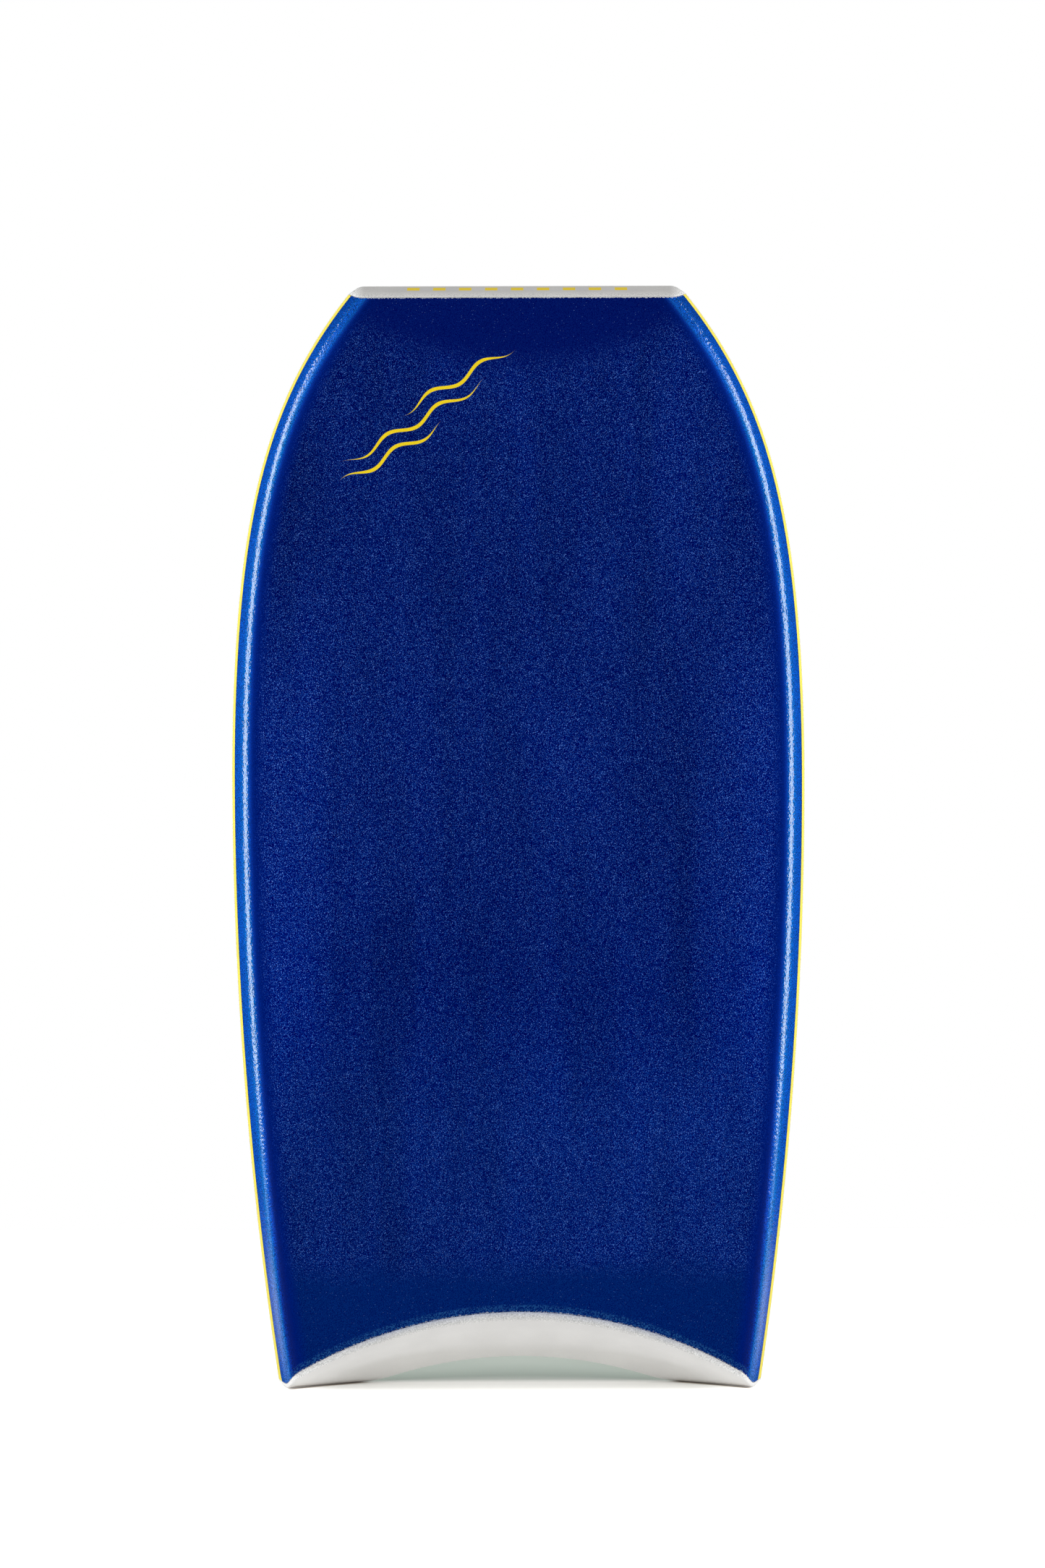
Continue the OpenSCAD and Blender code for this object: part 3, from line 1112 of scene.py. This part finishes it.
# %% Deck finish
edge_zone = (0.037, 0.021)
seam_shade_zone = (0.0037, 0.0031, 0.0, 0.9)
seam_shade = (8, 26, 60)
ink_yellow = (236, 206, 22)
ripple_cover = 0.94
gloss_inwards = (0.0245, 0.0165)
gloss_outwards = (0.002, 0.011, 0.45, 1.0)
matt_to_satin = (0.0, 1.0, 0.6, 0.34)
pebble_relief = 0.0005
coat_scale = 500
coat_relief = 0.00038


def make_deck_finish():
    """Blue pebbled foam, with a clear gloss on the bevel and the ridge."""
    material, tree, shader = new_finish("deck_blue_foam")
    spot = board_place(tree)
    from_edge = attribute(tree, "from_edge")
    grain = noise(tree, pebble_scale, roughness=pebble_roughness, stretch=pebble_stretch)
    bevel = bevel_blue_with_painted_light(tree, grain, from_edge, spot)
    colour = mix(tree, fade(tree, from_edge, *edge_zone), pebbled_blue(tree, grain, spot), bevel)
    # A thin painted shade lies along the seam between the deck skin and the pinline.
    colour = tint(tree, colour, fade(tree, from_edge, *seam_shade_zone), seam_shade)
    colour = worn_rims(tree, colour)
    colour = tint(tree, colour, times(tree, ripple_ink(tree, spot), ripple_cover), ink_yellow)
    glossy = times(tree, fade(tree, from_edge, *gloss_inwards), fade(tree, from_edge, *gloss_outwards))
    coat_grain = noise(tree, coat_scale, 1.0, stretch=pebble_stretch)
    plug(tree, shader, Base_Color=colour, Normal=bump(tree, grain, pebble_relief, 0.5))
    plug(tree, shader, Roughness=fade(tree, glossy, *matt_to_satin), Specular_IOR_Level=0.0)
    plug(tree, shader, Coat_Weight=glossy, Coat_Roughness=0.11, Coat_IOR=1.85)
    plug(tree, shader, Coat_Normal=bump(tree, coat_grain, coat_relief))
    return material


dress(make_deck_finish(), deck)

# %% [markdown]
# ## White foam
# The rails and the pads are white closed-cell foam with a smooth skin that is a little cloudy. A plain
# white would do from far away, but close by it looks like plastic, so a slow noise makes soft patches
# and a fine one a few grey cells. Where the foam was cut the cells are open, and the grain is stronger.

# %% Rail foam
cloud_scale = 26
cloud_depth = 5
cloud_zone = (0.3, 0.7)
foam_scale = 750
rail_cells = (0.54, 0.34, 0.0, 0.07)
cell_grey = (168, 170, 170)
rail_white = (230, 230, 228)
rail_relief = 0.0001


def cloudy_white(tree, white):
    """A white that is a little darker in soft patches."""
    cloud = fade(tree, noise(tree, cloud_scale, 3.0), *cloud_zone)
    darker = tuple(value - cloud_depth for value in white)
    return mix(tree, cloud, screen(darker), screen(white))


def make_rail_foam():
    """White closed-cell foam with a smooth skin, slightly cloudy."""
    material, tree, shader = new_finish("rail_foam")
    grain = noise(tree, foam_scale, roughness=0.6)
    colour = tint(tree, cloudy_white(tree, rail_white), fade(tree, grain, *rail_cells), cell_grey)
    relief = bump(tree, grain, rail_relief, 0.6)
    plug(tree, shader, Base_Color=colour, Normal=relief, Roughness=0.6, Specular_IOR_Level=0.3)
    return material


dress(make_rail_foam(), *rails)

# %% [markdown]
# The tail pad was trimmed along the deck, so its rim is grainy and has a little blue dust of the deck
# in its cells. A ramp over the distance from that rim, in millimetres, goes from a grey at the rim, the
# dust with a painted shade of the rounded rim, to the clean white face, and on to a duller white near
# the slick, a painted shade where the wall turns down to the floor.

# %% Tail foam
rim_whites_and_shade = ((-4, (162, 170, 190)), (-2.5, (188, 190, 196)), (0, (215, 215, 215)),
              (2.5, (235, 235, 234)), (6, (244, 243, 242)), (22, (247, 246, 245)),
              (45, (244, 243, 242)), (62, (235, 234, 232)))
open_rim = (0.0078, 0.0025, 0.04, 1.0)
rim_swing = 1.4
rim_relief = 0.0002
cloud_share = (*cloud_zone, 0.96, 1.0)


def make_tail_foam():
    """White foam, grainy with dust and painted shade at its rim, and painted duller towards the slick."""
    material, tree, shader = new_finish("tail_foam")
    from_rim = attribute(tree, "from_rim")
    grain = noise(tree, foam_scale, roughness=0.6)
    opened = fade(tree, from_rim, *open_rim)
    lively = sum_up(tree, "ADD", centred(tree, grain, times(tree, opened, rim_swing)), 1.0)
    cloud = fade(tree, noise(tree, cloud_scale, 3.0), *cloud_share)
    # The grey at the rim is dust and painted shade; the duller white near the slick is painted shade.
    white = ramp(tree, times(tree, from_rim, 1000), rim_whites_and_shade)
    relief = bump(tree, times(tree, grain, opened), rim_relief, 0.6)
    plug(tree, shader, Base_Color=brighten(tree, white, times(tree, lively, cloud)), Normal=relief)
    plug(tree, shader, Roughness=0.6, Specular_IOR_Level=0.3)
    return material


dress(make_tail_foam(), tail_pad)

# %% [markdown]
# The nose pad is ground round, so its foam is open and grainy near the seam with the deck and gets
# smoother towards its end. The number called rounded, which stayed on the points from the modelling,
# tells how far round a place is. The face of the pad is painted a shaded grey, a painted shade, while
# its corners, which turn to the soft boxes, are nearly white. The end carries a plain row of yellow
# bars as a trim.

# %% Nose foam
bar_pitch = 0.025
bar_width = 0.012
bar_count = 9
bar_rows = ((0.22, 0.25), (0.78, 0.75))
bar_end = (0.93, 0.97)
bar_cover = 0.95
nose_shaded_white = (202, 201, 199)
corner_zone = (0.146, 0.158)
corner_white = (240, 240, 238)
ground_scale = 850
ground_share = (0.95, 0.3, 0.12, 0.85)
ground_cells = (0.52, 0.34)
ground_relief = 0.0006


def bar_ink(tree):
    """1 on the row of bars on the end of the pad, 0 elsewhere."""
    x = board_place(tree)["X"]
    from_gap = sum_up(tree, "PINGPONG", sum_up(tree, "ADD", x, bar_pitch / 2), bar_pitch / 2)
    bar_edge = (bar_pitch - bar_width) / 2
    in_bar = fade(tree, from_gap, bar_edge - ink_soft, bar_edge + ink_soft)
    half_row = bar_pitch * bar_count / 2
    in_row = fade(tree, sum_up(tree, "ABSOLUTE", x), half_row + ink_soft, half_row - ink_soft)
    on_end = fade(tree, attribute(tree, "rounded"), *bar_end)
    return times(tree, in_bar, in_row, on_end, band(tree, attribute(tree, "along"), *bar_rows))


def make_nose_foam():
    """White foam, grainy where it was ground, its face painted grey as shade, with the bars on its end."""
    material, tree, shader = new_finish("nose_foam")
    grain = noise(tree, ground_scale, roughness=0.6)
    ground = fade(tree, attribute(tree, "rounded"), *ground_share)
    at_corner = fade(tree, sum_up(tree, "ABSOLUTE", board_place(tree)["X"]), *corner_zone)
    # The face of the pad is painted grey as shade; its corners, which turn to the soft boxes, stay white.
    colour = tint(tree, cloudy_white(tree, nose_shaded_white), at_corner, corner_white)
    colour = tint(tree, colour, times(tree, fade(tree, grain, *ground_cells), ground), cell_grey)
    colour = tint(tree, colour, times(tree, bar_ink(tree), bar_cover), ink_yellow)
    relief = bump(tree, times(tree, grain, ground), ground_relief, 0.6)
    plug(tree, shader, Base_Color=colour, Normal=relief, Roughness=0.62, Specular_IOR_Level=0.3)
    return material


dress(make_nose_foam(), nose_pad)

# %% [markdown]
# ## Yellow foam
# The pinlines are a dense yellow foam. They are too thin for a pattern to show, so a soft cloud and
# fine cells are enough.

# %% Yellow foam
yellow_scale = 900
yellow_cloud_scale = 60
yellow_dull = (237, 220, 82)
yellow_bright = (244, 230, 100)
yellow_cell = (214, 188, 62)
yellow_cells = (0.5, 0.34)
yellow_cover = 0.3


def make_yellow_foam():
    """Bright yellow closed-cell foam."""
    material, tree, shader = new_finish("yellow_foam")
    grain = noise(tree, yellow_scale, roughness=0.6)
    colour = mix(tree, noise(tree, yellow_cloud_scale, 3.0), screen(yellow_dull), screen(yellow_bright))
    worn = times(tree, fade(tree, grain, *yellow_cells), yellow_cover)
    relief = bump(tree, grain, rail_relief, 0.5)
    plug(tree, shader, Base_Color=tint(tree, colour, worn, yellow_cell), Normal=relief)
    plug(tree, shader, Roughness=0.5, Specular_IOR_Level=0.3)
    return material


dress(make_yellow_foam(), *pinlines)

# %% [markdown]
# ## Slick plastic
# The slick is a glossy sheet of mint-coloured plastic. The diamond net that is laminated under it
# shows through as fine darker lines and can just be felt, and the sheet has faint rubs along the way
# the board slides. Two sets of slanting lines make the net: the distance to the nearest line of each
# set is a ping-pong of the place along the other diagonal.

# %% Slick finish
net_pitch = 0.0115
net_line = 0.0009
net_slant = 1.7
net_relief = 0.00012
net_cover = 0.35
rub_scale = 420
rub_stretch = (1, 1, 40)
rub_zone = (0.52, 0.68)
rub_patch_scale = 9
rub_patches = (0.42, 0.62)
rub_cover = 0.18
rub_roughness = (0.0, 1.0, 0.16, 0.34)
mint_cloud_scale = 6
mint_dull = (140, 203, 177)
mint_bright = (150, 211, 187)
mint_net = (106, 174, 150)
mint_rubbed = (196, 226, 214)


def net_lines(tree, spot):
    """1 on the lines of the net, 0 in its openings."""
    drawn = 0.0
    tall = times(tree, spot["Z"], 1 / net_slant)
    for operation in ("ADD", "SUBTRACT"):
        diagonal = sum_up(tree, operation, spot["X"], tall)
        off = sum_up(tree, "PINGPONG", diagonal, net_pitch / 2)
        drawn = sum_up(tree, "MAXIMUM", fade(tree, off, net_line, net_line / 3), drawn)
    return drawn


def make_slick_finish():
    """Glossy mint sheet with the net under it just showing."""
    material, tree, shader = new_finish("slick_mint_sheet")
    net = net_lines(tree, board_place(tree))
    rubs = fade(tree, noise(tree, rub_scale, 3.0, 0.6, rub_stretch), *rub_zone)
    worn = times(tree, rubs, fade(tree, noise(tree, rub_patch_scale), *rub_patches))
    colour = mix(tree, noise(tree, mint_cloud_scale), screen(mint_dull), screen(mint_bright))
    colour = tint(tree, colour, times(tree, net, net_cover), mint_net)
    colour = tint(tree, colour, times(tree, worn, rub_cover), mint_rubbed)
    plug(tree, shader, Base_Color=colour, Roughness=fade(tree, worn, *rub_roughness))
    plug(tree, shader, Normal=bump(tree, times(tree, net, -1.0), net_relief, 0.5))
    return material


dress(make_slick_finish(), slick)

# %% [markdown]
# ## What lies inside
# The core, the inner rails, the backing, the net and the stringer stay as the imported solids, because
# the layers around them hide them. Each still gets a finish of its own, for anyone who opens the model:
# fused beads for the core, fine cells for the foam strips, long fibres for the tube.

# %% Inner finishes
bead_walls = (0.3, 0.75)
wall_cover = 0.7
wall_relief = -0.0003
fibre_scale = 900
fibre_zone = (0.35, 0.65)
fibre_relief = 0.0001


def make_inner_foam(name, pale, dark, bead_scale):
    """Foam whose beads or cells show as slightly darker walls."""
    material, tree, shader = new_finish(name)
    walls = fade(tree, cells(tree, bead_scale), *bead_walls)
    colour = tint(tree, screen(pale), times(tree, walls, wall_cover), dark)
    relief = bump(tree, walls, wall_relief, 0.5)
    plug(tree, shader, Base_Color=colour, Normal=relief, Roughness=0.75)
    return material


def make_fibre_plastic(name, pale, dark, stretch=(1, 1, 1)):
    """Plastic with fine streaks, long along one axis."""
    material, tree, shader = new_finish(name)
    streak = noise(tree, fibre_scale, 3.0, 0.6, stretch)
    colour = mix(tree, fade(tree, streak, *fibre_zone), screen(dark), screen(pale))
    relief = bump(tree, streak, fibre_relief, 0.4)
    plug(tree, shader, Base_Color=colour, Normal=relief, Roughness=0.4)
    return material


bead_foam = make_inner_foam("core_bead_foam", (240, 236, 224), (206, 200, 184), 280)
strip_foam = make_inner_foam("inner_strip_foam", (226, 226, 224), (196, 196, 194), 700)
tube_fibre = make_fibre_plastic("stringer_fibre", (66, 66, 70), (28, 28, 32), (1, 1, 60))
plug_plastic = make_fibre_plastic("plug_plastic", (74, 84, 84), (54, 64, 66))
net_plastic = make_fibre_plastic("net_plastic", (176, 176, 174), (150, 150, 148))
inner_finishes = {
    "core": bead_foam,
    "slick_backing": strip_foam,
    "slick_mesh": net_plastic,
    "stringer_tube": tube_fibre,
}
for side_name in sides:
    inner_finishes["inner_rail_" + side_name] = strip_foam
for end_name in ("nose", "tail"):
    inner_finishes["stringer_" + end_name + "_plug"] = plug_plastic
for node_name, finish in inner_finishes.items():
    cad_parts[node_name].material_slots[0].material = finish
print("inner finishes on", len(inner_finishes), "nodes")

# %% [markdown]
# ## Light
# The photograph was lit by two tall soft boxes, one on each side. Their reflections are the two narrow
# highlights along the ridges, which end where the boxes end, a little above the tail. Point lamps would
# give short glints instead, so the boxes are area lights of a soft box's own size. A large soft light
# above the camera shows the deck.

# %% Soft boxes
box_height = 1.41
box_middle = 0.795
box_depth = 0.59
box_front = -0.365
box_far = 1.5
box_watts = 12.7
key_watts = 40
key_size = (1.8, 1.2)
key_place = (0, -2.6, 2.4)
key_target = 0.4


def add_soft_light(name, place_of_light, turn, size, watts):
    """A rectangular light that the camera doesn't see."""
    bpy.ops.object.select_all(action="DESELECT")
    bpy.ops.object.light_add(type="AREA", location=place_of_light, rotation=turn)
    light = bpy.context.object
    light.name = name
    light.data.shape = "RECTANGLE"
    light.data.size, light.data.size_y = size
    light.data.energy = watts
    light.visible_camera = False


for side_name, side in sides.items():
    add_soft_light("soft_box_" + side_name, (side * box_far, box_front, box_middle),
                   (0, side * math.pi / 2, 0), (box_height, box_depth), box_watts)
key_lean = math.atan2(-key_place[1], key_place[2] - key_target)
add_soft_light("key_light", key_place, (key_lean, 0, 0), key_size, key_watts)
print("three soft lights, the key leaning", round(math.degrees(key_lean)), "degrees")

# %% [markdown]
# ## Floor
# The sweep is white to the camera and still takes the shadow of the board: it glows where the camera
# sees it, and the glow is left out behind the board and in the thin crease where the feet stand. There
# the floor is also painted: a greenish grey behind the board is a painted shadow, and a brown line in
# the crease is a painted contact shadow. In the gloss of the board the floor in front is dark, as black
# card would make it, so that it lays no grey veil over the blue.

# %% The crease under the feet
crease_front = (-0.007, -0.001)
crease_back = (0.006, 0.001)
crease_side = (tail_half - 0.004, tail_half - 0.016)
crease_under = (slick_y, slick_y - 0.008)


def painted_contact_shadow(tree, spot):
    """How far a place of the floor lies in the crease in front of the feet, where a contact shadow is
    painted.
    """
    squared = times(tree, spot["X"], spot["X"])
    reach = sum_up(tree, "SQRT", sum_up(tree, "SUBTRACT", crescent_radius ** 2, squared))
    drop = times(tree, sum_up(tree, "SUBTRACT", reach, crescent_radius), 1 / math.sin(tail_bevel))
    foot_y = sum_up(tree, "ADD", drop, crescent_y + crescent_depth / math.tan(tail_bevel))
    in_crease = band(tree, sum_up(tree, "SUBTRACT", spot["Y"], foot_y), crease_front, crease_back)
    on_foot = fade(tree, sum_up(tree, "ABSOLUTE", spot["X"]), *crease_side)
    return times(tree, in_crease, fade(tree, foot_y, *crease_under), on_foot)


print("the crease ends", round(crease_side[0], 4), "m from the middle")

# %% Floor finish
sweep_size = 2.7
floor_white = (0.93, 0.925, 0.895, 1)
shade_grey = (0.68, 0.70, 0.66, 1)
contact_shadow_brown = (0.52, 0.45, 0.38, 1)
pure_black = (0, 0, 0, 1)
pure_white = (1, 1, 1, 1)
shade_sides = (0.26, 0.16)
shade_front = (-0.056, 0.014)
shade_back = (0.6, 0.3)
grey_front = (0.03, 0.06)
glow_outwards = (0.6, sweep_size / 2, 0.5, 0.9)
pale_gloss_front = (0.0, 0.12)
pale_gloss_reach = (1.1, 0.4)
darkest_gloss = 0.97


def seen_directly(tree):
    """Whether a ray shows the background to the camera or through glass, and whether by gloss."""
    path = node(tree, "ShaderNodeLightPath")
    seen = sum_up(tree, "MAXIMUM", path.outputs["Is Camera Ray"], path.outputs["Is Transmission Ray"])
    return seen, path.outputs["Is Glossy Ray"]


def make_floor_finish():
    """A white floor that keeps the shadow behind the board, with a painted shadow and contact shadow."""
    material, tree, shader = new_finish("white_sweep")
    seen, glossy = seen_directly(tree)
    spot = board_place(tree)
    aside = sum_up(tree, "ABSOLUTE", spot["X"])
    off_board = sum_up(tree, "MAXIMUM", aside, sum_up(tree, "ABSOLUTE", spot["Y"]))
    between_feet = fade(tree, aside, *shade_sides)
    contact_shadow = painted_contact_shadow(tree, spot)

    behind_board = times(tree, between_feet, band(tree, spot["Y"], shade_front, shade_back))
    lit = times(tree, without(tree, behind_board), without(tree, contact_shadow))
    glow = times(tree, fade(tree, off_board, *glow_outwards), lit)

    pale = times(tree, fade(tree, spot["Y"], *pale_gloss_front), fade(tree, off_board, *pale_gloss_reach))
    dark_in_gloss = times(tree, glossy, sum_up(tree, "SUBTRACT", darkest_gloss, pale))

    # Behind the board and between the feet the floor is painted a greenish grey, a painted shadow.
    grey = times(tree, between_feet, band(tree, spot["Y"], grey_front, shade_back))
    colour = mix(tree, grey, floor_white, shade_grey)
    # In the crease in front of the feet a brown line is painted, a painted contact shadow.
    colour = mix(tree, contact_shadow, colour, contact_shadow_brown)
    colour = mix(tree, dark_in_gloss, colour, pure_black)
    plug(tree, shader, Base_Color=colour, Roughness=0.9, Specular_IOR_Level=0.0)
    plug(tree, shader, Emission_Color=pure_white, Emission_Strength=times(tree, seen, glow))
    return material


print("the floor glows from", glow_outwards[2], "at the board to", glow_outwards[3], "at its rim")

# %% Floor
bpy.ops.object.select_all(action="DESELECT")
bpy.ops.mesh.primitive_plane_add(size=sweep_size, location=(0, 0, 0))
floor = bpy.context.object
floor.name = "floor"
dress(make_floor_finish(), floor)

# %% [markdown]
# ## World
# The room around the sweep is white to the camera and gives a soft fill, a little more from behind, so
# that the slick is lit too. In the gloss it is dark in front of the board, as the room behind a
# photographer is, and white far behind the board.

# %% World
fill_by_side = (-0.3, 0.3, 0.40, 0.64)
gloss_by_side = (0.85, 0.98, 0.02, 1.0)

world = bpy.data.worlds.new("white_studio")
bpy.context.scene.world = world
world.use_nodes = True
sky = world.node_tree
seen, glossy = seen_directly(sky)
direction = node(sky, "ShaderNodeTexCoord").outputs["Generated"]
behind = node(sky, "ShaderNodeSeparateXYZ", {"Vector": direction}).outputs["Y"]
fill = fade(sky, behind, *fill_by_side)
mirrored = fade(sky, behind, *gloss_by_side)
unseen = node(sky, "ShaderNodeMix", {"Factor": glossy, "A": fill, "B": mirrored}).outputs["Result"]
strength = node(sky, "ShaderNodeMix", {"Factor": seen, "A": unseen, "B": 1.0}).outputs["Result"]
plug(sky, sky.nodes["Background"], Color=pure_white, Strength=strength)
bpy.context.scene.view_settings.view_transform = "Standard"
print("world fill", fill_by_side[2], "in front and", fill_by_side[3], "behind")
